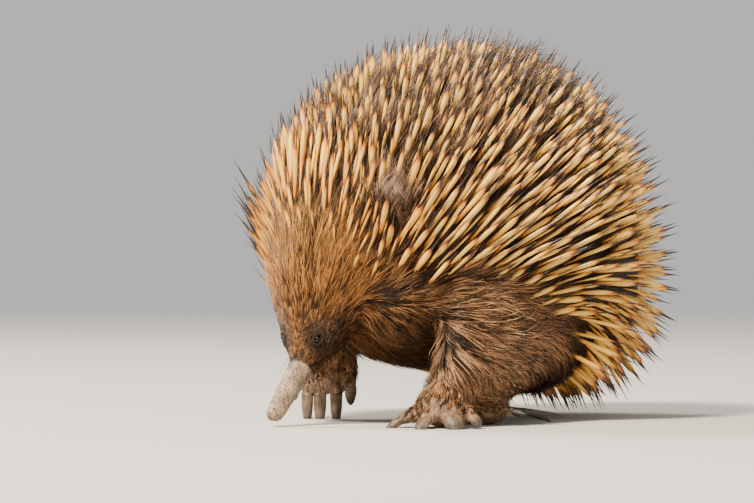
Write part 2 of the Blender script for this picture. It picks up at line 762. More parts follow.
def label_parts(skin, forms):
    """Gives each point of the skin its shares of the body's parts, blended where they meet."""
    count = len(skin.points)
    nearest, label = np.full(count, np.inf), np.zeros(count, int)
    for part, form in forms:
        tree = tree_of(form)
        corners = np.array([v.co for v in form.data.vertices])
        low, high = corners.min(axis=0) - PART_MARGIN, corners.max(axis=0) + PART_MARGIN
        inside = np.flatnonzero(((skin.points > low) & (skin.points < high)).all(axis=1))
        for i in inside:
            distance = tree.find_nearest(skin.points[i])[3]
            if distance < nearest[i]:
                nearest[i], label[i] = distance, part
    skin.label = label
    shares = np.eye(FOOT_PART + 1)[label]
    fine = np.where(np.isin(label, (BEAK_PART, FOOT_PART)), FINE_SHARE, 1.0)
    share, rounds = SKIN_SMOOTHING
    skin.relax(share * fine, rounds)
    for _ in range(PART_BLENDING):
        shares = skin.mean_round(shares)
    skin.shares = shares
    body = 1 - shares[:, BEAK_PART] - shares[:, FOOT_PART]
    for side in (LEFT, RIGHT):
        body[skin.gap(eye_frame(side)[0]) < EYE_REACH[1]] = 0
    body = np.clip(body, 0, 1) ** 2
    share, rounds = BODY_SMOOTHING
    skin.relax(share * body, rounds)
    near = 1 - smooth(0.6 * SHOULDER_REACH, SHOULDER_REACH, skin.gap(SHOULDER))
    share, rounds = SHOULDER_SMOOTHING
    skin.relax(share * body * near, rounds)


def push_in(skin, normals, frame_at, half, depth, rim):
    """Presses an oval hollow into the skin, with a raised rim round it."""
    middle, along, upward, outward = (np.array(v) for v in frame_at)
    offset = skin.points - middle
    reach = np.hypot(dot(offset, along) / half[0], dot(offset, upward) / half[1])
    reach[np.abs(dot(offset, outward)) > HOLLOW_NEAR] = HOLLOW_OUTSIDE
    hollow = 1 - smooth(*HOLLOW_EDGE, reach)
    ridge = np.exp(-(((reach - RIM_PLACE) / RIM_WIDTH) ** 2))
    skin.points += normals * (rim * ridge - depth * hollow)[:, None]
    return reach


def carve_face(skin):
    """Eyelids with their folds, nostrils, the mouth's slit and the beak's fine wrinkles."""
    normals = skin.normals()
    for side in (LEFT, RIGHT):
        reach = push_in(skin, normals, eye_frame(side), *LIDS)
        folds = np.exp(-(((reach - 2.8) / 1.4) ** 2)) * np.sin(reach * 6.0)
        skin.points += normals * (LID_FOLDS * folds)[:, None]
    centre, left, dorsal, rear = axis_frame(BEAK, NOSTRIL_PLACE)
    skin.write()
    tree = tree_of(skin.obj)
    for side in (-1, 1):
        aim = (dorsal + left * side * 0.55).normalized()
        spot = tree.ray_cast(centre + aim * 0.03, -aim)[0]
        across = aim.cross(rear).normalized()
        push_in(skin, normals, (spot, rear, across, aim), *NOSTRIL)
    centre, left, dorsal, rear = axis_frame(BEAK, MOUTH_PLACE)
    spot = tree.ray_cast(centre - dorsal * 0.03, dorsal)[0]
    push_in(skin, normals, (spot, rear, left, -dorsal), *MOUTH)


def wander(points, size):
    """A slow uneven wave over the points, which keeps folds from running straight."""
    wave = 0.6 * np.sin(points @ np.array((900.0, 700.0, 300.0)))
    wave += 0.4 * np.sin(points @ np.array((-1500.0, 2100.0, 800.0)))
    return size * wave


def creases(along, apart):
    """Sharp creases across a length, so far apart."""
    return 1 - np.abs(np.sin(along * math.pi / apart))


def beak_along(points):
    """How far each point lies from the beak's base towards its tip, in metres."""
    base = np.array(BEAK_BASE[:3])
    return dot(points - base, unit(np.array(BEAK_TIP) - base))


def wrinkle_beak(skin):
    """Rings of fine wrinkles round the beak, deepest next to the fur."""
    along = beak_along(skin.points)
    fold = creases(along + wander(skin.points, 0.0010), RING_APART)
    crossed = creases(along * 0.4 + wander(skin.points[:, [2, 0, 1]], 0.0022), CROSS_APART)
    fold = np.maximum(0.55 * fold**2, 0.75 * crossed**3)
    bare = smooth(0.1, 0.6, skin.shares[:, BEAK_PART])
    depth = BEAK_FOLDS + BASE_FOLDS * (1 - smooth(*BASE_REACH, along))
    skin.points -= skin.normals() * (depth * bare * fold)[:, None]
    skin.fold = np.maximum(skin.fold, fold * bare)


def wrinkle_feet(skin):
    """Folds across the digits."""
    near, along = np.full(len(skin.points), np.inf), np.zeros(len(skin.points))
    for _, foot, side, digits in feet():
        for digit in digits:
            root, way, _, _ = digit_line(foot, side, digit)
            offset = skin.points - np.array(root)
            place = dot(offset, np.array(way))
            held = np.clip(place, -0.3 * foot.long, 1.5 * foot.long)
            distance = np.linalg.norm(offset - held[:, None] * np.array(way), axis=1)
            closer = distance < near
            near[closer], along[closer] = distance[closer], place[closer]
    fold = creases(along + wander(skin.points, 0.0018), FOOT_APART)
    fold = fold**2 * skin.shares[:, FOOT_PART] * (1 - 0.8 * smooth(*FOOT_FOLDED, near))
    skin.points -= skin.normals() * (FOOT_FOLDS * fold)[:, None]
    skin.fold = np.maximum(skin.fold, fold)


def carve_ears(skin):
    """The ear's upright slit, with its fold of skin in front and behind."""
    tree = tree_of(skin.obj)
    normals = skin.normals()
    for side in (LEFT, RIGHT):
        push_in(skin, normals, ear_frame(side, tree), *EAR_SLIT)


# Fields over the skin: which way the fur lies, how long it is, and its colours


def far_neck(points):
    """How far a point lies on the right side of the neck, between 0 and 1."""
    x, y, z = points.T
    return smooth(*FAR_ALONG, -x) * smooth(*FAR_SIDE, y) * (1 - smooth(*FAR_UNDER, z))


def crown_height(points):
    """How far a point lies above the lower edge of the spines on the head."""
    fall = CROWN_FALL * smooth(*CROWN_SIDES, np.abs(points[:, 1] - HEAD[3].y))
    return points[:, 2] - CROWN_EDGE + fall + CROWN_FAR_FALL * far_neck(points)


def mantle_height(points):
    """How far a point lies above the lower edge of the spines on the trunk."""
    fall = MANTLE_FALL * smooth(*MANTLE_ALONG, points[:, 0])
    edge = MANTLE_EDGE - fall + MANTLE_RISE * smooth(*NECK_ALONG, -points[:, 0])
    return points[:, 2] - edge + FAR_FALL * far_neck(points)


def fan_ways(points, normals):
    """The way that each spine points: out from the fan's point, and down at the rump."""
    ways = points - FAN_POINT
    ways[:, 1] *= FAN_SPREAD
    ways = unit(ways)
    rump = smooth(*RUMP_ALONG, points[:, 0]) * (1 - smooth(*RUMP_UNDER, points[:, 2]))
    neck = smooth(*NECK_ALONG, -points[:, 0]) * (1 - smooth(*NECK_UNDER, points[:, 2]))
    ways[:, 2] -= RUMP_DROP * rump
    ways = unit(ways + normals * (SPINE_LIFT + NECK_LIFT * neck)[:, None])
    lack = SPINE_LEAST_LIFT - dot(ways, normals)
    return unit(ways + normals * np.maximum(lack, 0)[:, None])


def flank_ways(points):
    """Back from the shoulder over the foreleg and the flank, curving down over the wrist."""
    ways = points - np.array(FLOW_SOURCE)
    ways[:, 0] = np.maximum(ways[:, 0], 0) + FLOW_BACK
    ways[:, 1] = 0
    reach = np.linalg.norm(ways, axis=1)
    ways = unit(ways)
    ways[:, 2] *= 1 - FLOW_LEVELS * smooth(*FLOW_REACH, reach)
    wrist = (1 - smooth(*WRIST_UNDER, points[:, 2])) * smooth(*WRIST_ALONG, points[:, 0])
    ways[:, 2] -= WRIST_DROP * wrist
    return unit(ways)


def hind_ways(points):
    """Back and down over the thigh."""
    drop = THIGH_DROP[0] + THIGH_DROP[1] * (1 - smooth(*THIGH_UNDER, points[:, 2]))
    return unit(np.stack([np.ones(len(points)), np.zeros(len(points)), -drop], axis=1))


def blend(first, second, share):
    """From one field of colours or ways to another, or to one colour, by a share at each point."""
    return first + (np.asarray(second, float) - first) * share[:, None]


class Fur:
    """The fur's fields at the skin's points."""

    def __init__(self, skin):
        self.skin, self.points, self.normals = skin, skin.points, skin.normals()
        self.tree = KDTree(len(self.points))
        for i, point in enumerate(self.points):
            self.tree.insert(point, i)
        self.tree.balance()
        x, _, z = self.points.T
        trunk, head, _, _, hindleg, _, _ = skin.shares.T
        self.mantle = smooth(-0.010, 0.006, mantle_height(self.points)) * trunk
        self.crown = smooth(-0.006, 0.006, crown_height(self.points)) * head
        self.spiny = np.clip(self.mantle + self.crown, 0, 1)
        self.face = head * (1 - self.crown)
        self.beak_gap = skin.gap(BEAK_BASE[:3])
        self.beak_along = beak_along(self.points) + wander(self.points, 0.0012)
        tree = tree_of(skin.obj)
        eyes = [eye_frame(side)[0] for _, side in SIDES]
        ears = [ear_frame(side, tree)[0] for _, side in SIDES]
        self.eye_gap, self.ear_gap = (np.minimum(*map(skin.gap, pair)) for pair in (eyes, ears))
        self.ear = np.exp(-((self.ear_gap / EAR_TUFT) ** 2))
        self.fringe = np.clip(trunk + hindleg, 0, 1)
        self.fringe *= smooth(*FRINGE_ALONG, x) * (1 - smooth(*FRINGE_UNDER, z))
        self.set_feet()
        self.set_lie()
        self.set_growth()
        self.set_colours()

    def nearest(self, spots):
        return np.array([self.tree.find(spot)[1] for spot in spots])

    def set_feet(self):
        """The nearest foot's way forward, and how hairy its back is."""
        count = len(self.points)
        nearest = np.full(count, np.inf)
        self.foot_way, self.hairy = np.zeros((count, 3)), np.zeros(count)
        for _, foot, side, _ in feet():
            forward, _, dorsal = (np.array(v) for v in foot_frame(foot, side))
            gap = self.skin.gap(foot[:3])
            near = gap < nearest
            ahead = dot(self.points - np.array(foot[:3]), forward) / foot.long
            top = smooth(-0.3, 0.2, self.normals @ dorsal)
            reach = 1.5 if foot.drop > 45 else 1.0
            hairy = (1 - smooth(-0.1, reach, ahead)) * top
            self.foot_way[near], self.hairy[near] = forward, hairy[near]
            nearest = np.minimum(nearest, gap)

    def set_lie(self):
        """Which way the fur lies along the skin."""
        points, normals = self.points, self.normals
        trunk, head, beak, foreleg, hindleg, tail, foot = self.skin.shares.T
        source = BEAK_BASE[:3] + unit(np.array(BEAK_TIP) - BEAK_BASE[:3]) * HEAD_FLOW_AHEAD
        above = smooth(-0.02, 0.01, mantle_height(points))
        ways = (
            (head + beak, unit(points - source)),
            (trunk, blend(flank_ways(points), fan_ways(points, normals), above)),
            (foreleg, flank_ways(points)),
            (hindleg, hind_ways(points)),
            (tail, np.array(TAIL_WAY)),
            (foot, self.foot_way + np.array(FOOT_FALL)),
        )
        lie = sum(share[:, None] * way for share, way in ways)
        lie = blend(blend(lie, FRINGE_WAY, self.fringe), EAR_WAY, self.ear)
        for _ in range(6):
            lie = self.skin.mean_round(lie)
        self.lie = flat(lie, normals)

    def set_growth(self):
        """Length, half-width, lift and how much of the skin the fur covers."""
        x, _, z = self.points.T
        mantle = self.mantle
        trunk, head, beak, foreleg, hindleg, tail, foot = self.skin.shares.T
        face_length = rise(*FACE_LENGTH, self.beak_gap) * rise(*EYE_SHORTER, self.eye_gap)
        length = (head + beak) * face_length * (1 - CROWN_SHORTER * self.crown)
        length += trunk * (TRUNK_LENGTH - MANTLE_SHORTER * mantle)
        length += foreleg * rise(*FORELEG_LENGTH, z) + hindleg * rise(*HINDLEG_LENGTH, z)
        length += tail * TAIL_LENGTH + foot * FOOT_LENGTH
        length += (EAR_LENGTH - length) * self.ear
        length += (FRINGE_LENGTH - length) * self.fringe
        length += CREST_LONGER * mantle * smooth(*CREST_TOP, z) * smooth(*CREST_ALONG, x)
        self.length = np.maximum(length, LEAST_LENGTH)
        half, in_mantle, in_long_fur = HAIR_HALF
        self.half = half + in_mantle * mantle + in_long_fur * (foreleg + trunk * (1 - mantle))
        lift, in_spines, on_face, on_crest, at_ear, in_fringe = HAIR_LIFT
        self.lift = lift + in_spines * self.spiny + on_face * self.face
        self.lift += on_crest * mantle * smooth(*CREST, z) + at_ear * self.ear
        self.lift += in_fringe * self.fringe
        bare_beak = beak * smooth(*BARE_FROM, self.beak_along)
        cover = 1 - smooth(*BARE_SHARE, bare_beak)
        cover *= 1 - smooth(*BARE_FOOT, foot) * (1 - self.hairy)
        self.cover = cover * rise(*EYE_COVER, self.eye_gap)

    def set_colours(self):
        """Colours of the hair at its root and tip, and of the skin."""
        x, _, z = self.points.T
        _, _, beak, foreleg, hindleg, _, foot = self.skin.shares.T
        brow = np.clip(self.face + 0.35 * self.crown, 0, 1)
        facing = self.normals[:, 0] * -0.85 + self.normals[:, 2] * 0.5
        belly = smooth(-0.01, 0.03, x) * (1 - smooth(0.045, 0.085, z))
        layers = {
            "body": np.ones(len(x)),
            "face": self.face,
            "cheek": self.face * (1 - smooth(0.0, 0.75, facing)),
            "spiny": self.spiny,
            "crest": self.spiny * smooth(*CREST, z),
            "brow": brow * np.exp(-((self.skin.gap(BROW) / BROW_REACH) ** 2)),
            "ear": self.ear,
            "beak": smooth(0.2, 0.8, beak) * smooth(0.0055, 0.0095, self.beak_along),
            "foreleg": foreleg,
            "hindleg": hindleg,
            "foot": foot,
            "underside": 0.75 * belly * (1 - self.spiny),
            "eye": np.clip(1.25 * np.exp(-((self.eye_gap / EYE_PATCH) ** 2)), 0, 1),
            "lids": np.exp(-((self.eye_gap / LID_PATCH) ** 2)),
        }
        fields = [np.zeros((len(x), 3)) for _ in range(3)]
        for name, *colours in COAT_COLOURS:
            for k, colour in enumerate(colours):
                if colour:
                    fields[k] = blend(fields[k], colour, layers[name])
        self.root, self.tip, bare = fields
        self.bare = bare * (1 - FOLD_DARKNESS * self.skin.fold[:, None])


def sample(fur, weights, count, rng):
    """Random places on the skin by weight at its points: triangles, and shares of their corners."""
    chance = np.linalg.norm(fur.skin.faces(), axis=1) * weights[fur.skin.triangles].mean(axis=1)
    total = np.cumsum(chance)
    picked = np.searchsorted(total, rng.random(count) * total[-1])
    u, v = rng.random(count), rng.random(count)
    over = u + v > 1
    u[over], v[over] = 1 - u[over], 1 - v[over]
    return fur.skin.triangles[picked], np.stack([1 - u - v, u, v], axis=1)


def at(values, places):
    """A field's values at sampled places."""
    triangles, shares = places
    if values.ndim == 1:
        return (values[triangles] * shares).sum(axis=1)
    return (values[triangles] * shares[:, :, None]).sum(axis=1)


# Coat pieces


def set_tint(data, colours):
    """Colours at the points of a mesh, for its material."""
    tint = np.ones((len(colours), 4), np.float32)
    tint[:, :3] = colours
    layer = data.color_attributes.new("Tint", "FLOAT_COLOR", "POINT")
    layer.data.foreach_set("color", tint.ravel())


def taper_faces(rings, sides):
    """The triangles of one spike, its base closed and its end drawn to the last point."""
    faces = []
    for r in range(rings - 1):
        for k in range(sides):
            a, b = r * sides + k, r * sides + (k + 1) % sides
            faces += [(a, b, b + sides), (a, b + sides, a + sides)]
    last = (rings - 1) * sides
    faces += [(last + k, last + (k + 1) % sides, last + sides) for k in range(sides)]
    faces += [(0, k + 1, k) for k in range(1, sides - 1)]
    return np.array(faces, np.int32)


def tapers(name, centres, across, up, sizes, outline, tips, colours, patch_at, patch):
    """Many tapered closed spikes in one mesh.

    centres, across and up (n, rings, 3) and sizes (n, rings) give each ring, and outline (sides, 2)
    its shape. tips is (n, 3), colours (n, rings + 1, 3), patch_at (n, 2).
    """
    count, rings = sizes.shape
    sides = len(outline)
    flat = outline[None, None, :, :] * sizes[:, :, None, None]
    points = centres[:, :, None] + flat[..., :1] * across[:, :, None] + flat[..., 1:] * up[:, :, None]
    points = np.concatenate([points.reshape(count, -1, 3), tips[:, None]], axis=1)
    each = rings * sides + 1
    faces = taper_faces(rings, sides)
    triangles = (faces[None] + (np.arange(count) * each)[:, None, None]).reshape(-1, 3)

    u = np.tile(np.arange(sides) / sides, rings)
    v = np.repeat(np.arange(rings) / rings, sides) + 0.04 * np.tile(np.arange(sides) % 2, rings)
    local = np.stack([np.append(u, 0.5), np.append(v, 1.0)], axis=1) * np.array(patch)
    uv = (patch_at[:, None] + local[None]).reshape(-1, 2)

    data = bpy.data.meshes.new(name)
    data.vertices.add(count * each)
    data.vertices.foreach_set("co", points.astype(np.float32).ravel())
    data.loops.add(triangles.size)
    data.loops.foreach_set("vertex_index", triangles.ravel())
    data.polygons.add(len(triangles))
    data.polygons.foreach_set("loop_start", np.arange(0, triangles.size, 3, dtype=np.int32))
    data.update(calc_edges=True)
    layer = data.uv_layers.new(name="OFBake")
    layer.uv.foreach_set("vector", uv[triangles.ravel()].astype(np.float32).ravel())
    set_tint(data, np.repeat(colours, [sides] * rings + [1], axis=1).reshape(-1, 3))
    data.shade_smooth()
    return add_object(name, data)


def roll_out(points, axis):
    """Each root's place on the skin, rolled out round the body's or a leg's own axis."""
    if axis == "x":
        round_at, along = np.arctan2(points[:, 1], points[:, 2] - 0.12), points[:, 0]
    else:
        offset = points[:, :2] - points[:, :2].mean(axis=0)
        round_at, along = np.arctan2(offset[:, 0], offset[:, 1]), points[:, 2]
    return np.stack([round_at, along], axis=1)


def unwrap(rolled, patch):
    """The rolled out roots of one piece, spread over the whole map with room for the patches."""
    low, high = rolled.min(axis=0), rolled.max(axis=0)
    return 0.005 + (0.99 - np.array(patch)) * (rolled - low) / np.maximum(high - low, 1e-6)


# Strands by how many rings they have: the rings' places along the strand, and the widths there
STRAND_SHAPES = {
    1: ((0.0,), (0.9,)),
    2: ((0.0, 0.5), (0.9, 0.8)),
    3: ((0.0, 0.36, 0.70), (0.8, 0.95, 0.65)),
}
# How much tufts and strands differ
TUFT_TURN = 0.16
TUFT_LENGTHS = (0.75, 1.2)
STRAND_LENGTHS = (0.7, 1.12)
STRAND_LIFTS = (0.6, 1.4)
STRAND_WIDTHS = (0.8, 1.3)
STRAND_LEAN = 0.09
STRAND_CURL = 0.10
STRAND_SUNK = 0.0009
TIP_CLEARANCE = 0.0008
STRAND_OUTLINE = np.array(((-1.0, 0.0), (1.0, 0.0), (0.0, 0.75)))
PIECE_LIMIT = 190000
TUFT_STRANDS = 7
TUFT_PATCH = (0.003, 0.003)
TUFT_TONES = (0.12, 0.55, 1.20, 1.70)
TONE_SHARES = (0.32, 0.26, 0.26, 0.16)
# A group of tufts: its name, where it grows, how many tufts, the rings of a strand, the axis of its
# unwrap, its length and width against the fields', how wide a tuft is, how much its strands differ,
# how far they draw together, and how much the tufts differ in tone
Tufts = namedtuple("Tufts", "name weights count rings axis long wide radius mixed clump contrast")


def follow(fur, root, normal, way, turn, length, places):
    """Guides from the roots over the skin along its lie: points, normals and ways across."""
    points, normals, across = [root], [normal], [np.cross(normal, way)]
    for before, after in zip(places, places[1:]):
        spot = points[-1] + way * (length * (after - before))[:, None]
        near = fur.nearest(spot)
        n = fur.normals[near]
        spot = spot - n * dot(spot - fur.points[near], n)[:, None]
        lie = flat(fur.lie[near] * 0.65 + way * 0.35, n)
        side = np.cross(n, lie)
        way = unit(lie + side * (turn * 0.5)[:, None])
        points.append(spot)
        normals.append(n)
        across.append(side)
    return (np.stack(rows, axis=1) for rows in (points, normals, across))


def strand_paths(tufts, places, guide, normals, across, length, lift, rng):
    """Each strand's points along its tuft's guide, risen off the skin and drawn to the tuft's middle."""
    count = len(guide)
    angle = rng.uniform(0, 2 * math.pi, count)
    radius = tufts.radius * np.sqrt(rng.random(count))
    ahead = np.cross(across[:, 0], normals[:, 0])
    offset = across[:, 0] * (radius * np.cos(angle))[:, None] + ahead * (radius * np.sin(angle))[:, None]
    own = length * rng.uniform(*STRAND_LENGTHS, count)
    path = stretch(guide, places, places * (own / length)[:, None])
    lift = lift * rng.uniform(*STRAND_LIFTS, count)
    rise = (lift * own)[:, None] * (1.6 * places - 0.6 * places**2)
    rise = rise - np.minimum(STRAND_SUNK, 0.10 * own)[:, None]
    sway = (rng.normal(0, STRAND_LEAN, count) * own)[:, None] * places
    sway = sway + (rng.normal(0, STRAND_CURL, count) * own)[:, None] * places**2
    path = path + normals * rise[..., None] + across * sway[..., None]
    path = path + offset[:, None] * (1 - tufts.clump * places)[None, :, None]
    path[..., 2] = np.maximum(path[..., 2], FLOOR + TIP_CLEARANCE)
    return path


def grow_fur(fur, tufts, rng):
    """Tufts of fine closed strands that follow the skin's lie, in pieces of a size that can be kept."""
    places, widths = STRAND_SHAPES[tufts.rings]
    places = np.array((*places, 1.0))
    spots = sample(fur, tufts.weights * fur.cover, tufts.count, rng)
    root, normal = at(fur.points, spots), unit(at(fur.normals, spots))
    lie = flat(at(fur.lie, spots), normal)
    turn = rng.normal(0, TUFT_TURN, tufts.count)
    lie = unit(lie + np.cross(normal, lie) * turn[:, None])
    length = at(fur.length, spots) * tufts.long * rng.uniform(*TUFT_LENGTHS, tufts.count)
    guide, normals, across = follow(fur, root, normal, lie, turn, length, places)
    lift, half, dark, pale = (at(values, spots) for values in (fur.lift, fur.half, fur.root, fur.tip))
    light = rng.choice(TUFT_TONES, tufts.count, p=TONE_SHARES) ** tufts.contrast
    rolled = roll_out(root, tufts.axis)
    order = np.argsort(rolled[:, 0])
    per_piece = PIECE_LIMIT // ((6 * (tufts.rings - 1) + 4) * TUFT_STRANDS)
    column = np.arange(TUFT_STRANDS) / TUFT_STRANDS * TUFT_PATCH[0]
    patch = (TUFT_PATCH[0] / TUFT_STRANDS, TUFT_PATCH[1])
    pieces = []
    for number, start in enumerate(range(0, tufts.count, per_piece)):
        group = order[start : start + per_piece]
        patch_at = np.repeat(unwrap(rolled[group], TUFT_PATCH), TUFT_STRANDS, axis=0)
        patch_at[:, 0] += np.tile(column, len(group))
        pick = np.repeat(group, TUFT_STRANDS)
        lines = (guide[pick], normals[pick], across[pick])
        path = strand_paths(tufts, places, *lines, length[pick], lift[pick], rng)
        wide = half[pick] * tufts.wide * rng.uniform(*STRAND_WIDTHS, len(pick))
        shade = light[pick] * np.exp(rng.normal(0, tufts.mixed, len(pick)))
        base = dark[pick] * np.minimum(shade, 1.2)[:, None]
        end = np.minimum(pale[pick] * np.clip(shade, 0.08, 2.1)[:, None], 0.92)
        colours = np.stack([base + (end - base) * share**1.2 for share in places], axis=1)
        planes = (across[pick][:, :-1], normals[pick][:, :-1], wide[:, None] * np.array(widths)[None])
        shape = (path[:, :-1], *planes, STRAND_OUTLINE, path[:, -1])
        pieces.append(tapers(f"{tufts.name}_{number + 1}", *shape, colours, patch_at, patch))
    return pieces


def stretch(guide, places, t):
    """Points at other shares of the guides' lengths, past the end in a straight line."""
    last = len(places) - 2
    index = np.clip(np.searchsorted(places, t, side="right") - 1, 0, last)
    rows = np.arange(len(guide))[:, None]
    low, high = guide[rows, index], guide[rows, index + 1]
    share = (t - places[index]) / (places[index + 1] - places[index])
    return low + (high - low) * share[..., None]


SPINE_PATCH = (0.006, 0.011)
SPINE_SUNK = 0.003
# How much spines differ
SPINE_STRAY = 0.08
SPINE_LENGTHS = (0.85, 1.12)
SPINE_HALVES = (0.70, 1.15)
SPINE_BENDS = (-0.04, 0.10)
SPINE_TONES = (0.5, 1.4)
# No spine's tip hangs lower than this ahead of the rump, where the hind legs are
HANGING_BELOW = 0.036
HANGING_BEFORE = 0.060
# A spine's rings: their places from base to tip, and how wide it is there
SPINE_RINGS = np.array((0.0, 0.18, 0.39, 0.54, 0.62, 0.67, 0.72, 0.85))
SPINE_WIDTHS = np.array((0.45, 0.72, 0.94, 1.0, 0.86, 0.60, 0.34, 0.21))
SPINE_BANDS = ("root", "gold", "cream", "cream", "gold", "rust", "tip", "tip", "tip")


def spine_colours(count, tone, rng):
    """Orange at the root, cream in the middle, a rusty band and then a dark tip."""
    bands = np.array([SPINE_COLOURS[band] for band in SPINE_BANDS])
    colours = np.tile(bands, (count, 1, 1)) * rng.uniform(0.72, 1.10, count)[:, None, None]
    warm = colours * np.array((0.92, 0.70, 0.36))
    return blend(colours.reshape(count, -1), warm.reshape(count, -1), tone).reshape(colours.shape)


def spaced(points, room, taken):
    """Which points to keep so that no two, and none of those taken, are nearer than the room."""
    grid, kept = {}, []
    for spot in taken:
        grid.setdefault(tuple(np.floor(spot / room).astype(int)), []).append(spot)
    steps = [(x, y, z) for x in (-1, 0, 1) for y in (-1, 0, 1) for z in (-1, 0, 1)]
    cells = np.floor(points / room).astype(int)
    for i, (x, y, z) in enumerate(cells.tolist()):
        near = [s for dx, dy, dz in steps for s in grid.get((x + dx, y + dy, z + dz), ())]
        if near and (np.linalg.norm(np.array(near) - points[i], axis=1) < room).any():
            continue
        grid.setdefault((x, y, z), []).append(points[i])
        kept.append(i)
    return np.array(kept, int)


def spine_tone(root):
    """How orange the spines are: most on the crown, the neck and under the rump."""
    low = 0.55 * (1 - smooth(0.04, 0.09, root[:, 2]))
    front = smooth(0.070, 0.10, -root[:, 0]) * (1 - smooth(0.13, 0.17, root[:, 2]))
    return 0.10 + 0.75 * np.maximum(low, front)


def spine_ways(fur, spots, kept, root, normal, rng):
    """The way each spine points: off the mantle's fan, closer to the skin on the head and far neck."""
    far = far_neck(root)
    ways = fan_ways(root, normal)
    hugging = np.clip(at(fur.crown, spots)[kept] + 0.8 * far, 0, 1)
    slope = unit(at(fur.lie, spots)[kept] + CROWN_LIFT * normal)
    ways = unit(blend(ways, slope, hugging))
    ways = unit(blend(ways, FAR_WAY, 0.85 * smooth(0.0, 0.5, far)))
    return unit(ways + rng.uniform(-SPINE_STRAY, SPINE_STRAY, (len(root), 3)))


def above_floor(root, tip):
    """How much of a spine's length keeps its tip off the floor, from the heights of both ends."""
    fall = np.maximum(root - tip, 1e-6)
    return np.where(tip < FLOOR + 0.002, (root - FLOOR - 0.003) / fall, 1)


def grow_spines(name, fur, growth, weights, taken, sides, rng):
    """Spines over part of the skin, each a tapered closed spike that bends a little."""
    spots = sample(fur, weights, growth.tries, rng)
    root, normal = at(fur.points, spots), unit(at(fur.normals, spots))
    kept = spaced(root, growth.room, taken)
    root, normal = root[kept], normal[kept]
    count = len(root)
    ways = spine_ways(fur, spots, kept, root, normal, rng)
    length = np.clip(growth.height / dot(ways, normal), growth.least, growth.most)
    length *= rng.uniform(*SPINE_LENGTHS, count)
    half = growth.half * rng.uniform(*SPINE_HALVES, count)
    across = unit(np.cross(ways, normal))
    up = np.cross(across, ways)
    bend = rng.uniform(*SPINE_BENDS, count) * length

    def curve(t):
        along = t * (length + SPINE_SUNK) - SPINE_SUNK
        return root + ways * along[:, None] + up * (bend * (t * t - t))[:, None]

    held = above_floor(root[:, 2], curve(1.0)[:, 2])
    length *= np.clip(held, 0.1, 1)
    centres = np.stack([curve(t) for t in SPINE_RINGS], axis=1)
    tips = curve(1.0)
    tone = np.clip(spine_tone(root) * rng.uniform(*SPINE_TONES, count), 0, 1)
    colours = spine_colours(count, tone, rng) * (1 - 0.35 * far_neck(root))[:, None, None]
    sizes = half[:, None] * SPINE_WIDTHS[None]
    angle = 2 * math.pi * np.arange(sides) / sides
    outline = np.stack([np.cos(angle), np.sin(angle)], axis=1)
    hanging = (tips[:, 2] < HANGING_BELOW) & (tips[:, 0] < HANGING_BEFORE)
    clear = np.flatnonzero((tips[:, 2] > FLOOR + TIP_CLEARANCE) & (held > 0.5) & ~hanging)
    rolled = roll_out(root, "x")
    order = clear[np.argsort(rolled[clear, 0])]
    limit = PIECE_LIMIT // (2 * sides * len(SPINE_RINGS))
    pieces = []
    for number, start in enumerate(range(0, len(order), limit)):
        pick = order[start : start + limit]
        planes = [np.broadcast_to(v[pick][:, None], centres[pick].shape) for v in (across, up)]
        shape = (centres[pick], *planes, sizes[pick], outline, tips[pick])
        patch_at = unwrap(rolled[pick], SPINE_PATCH)
        pieces.append(tapers(f"{name}_{number + 1}", *shape, colours[pick], patch_at, SPINE_PATCH))
    return pieces, root


# Claws and eyes


def claw_line(name, root, way, across, dorsal, digit):
    """A broad claw that tapers and curls down to its tip, with a rounded end."""
    half = CLAW_WIDTH * digit.width
    point, rows = root - way * CLAW_SUNK, []
    last = 0.0
    for place, taper in CLAW_SHAPE:
        bend = math.radians(digit.curl) * (last + place)
        step = (way * math.cos(bend) - dorsal * math.sin(bend)) * (place - last)
        point = point + step * (digit.claw + CLAW_SUNK)
        last = place
        size = half * taper
        rows.append(Ring(*point, size, size * CLAW_FLATNESS, size * CLAW_FLATNESS))
    return loft(name, rows, 6, 24, across)


def make_claws():
    """Every claw as its own piece, with the share of its length at each point."""
    claws = []
    for foot_name, foot, side, digits in feet():
        limb, side_name = foot_name.split("_")
        for i, digit in enumerate(digits):
            root, way, across, dorsal = digit_line(foot, side, digit)
            start = root + way * (STUB_AHEAD * foot.long + digit.stub + 0.125 * digit.width)
            name = f"{limb}_claw_{side_name}_{i + 1}"
            claw = claw_line(f"horn_{name}", start, way, across, dorsal, digit)
            points = np.array([v.co for v in claw.data.vertices])
            along = (points - np.array(start)) @ np.array(way)
            ridges = np.sin(points @ np.array(across) * 9000) * np.sin(along * 2600 + 1.0)
            middle = points.mean(axis=0)
            out = unit(points - middle - np.outer((points - middle) @ np.array(way), way))
            points += out * (0.00010 * ridges)[:, None]
            points[:, 2] = np.maximum(points[:, 2], FLOOR)
            claw.data.vertices.foreach_set("co", points.ravel())
            claws.append((claw, name, limb, along / digit.claw))
    return claws


def make_eyes():
    """Glossy round eyeballs between the lids."""
    eyes = []
    for name, side in SIDES:
        middle, along, upward, outward = eye_frame(side)
        axes = (along * EYEBALL, upward * EYEBALL, outward * EYEBALL)
        eyes.append((ellipsoid(f"eyeball_{name}", middle, axes, 40, 24), f"eye_{name}"))
    return eyes


# Materials


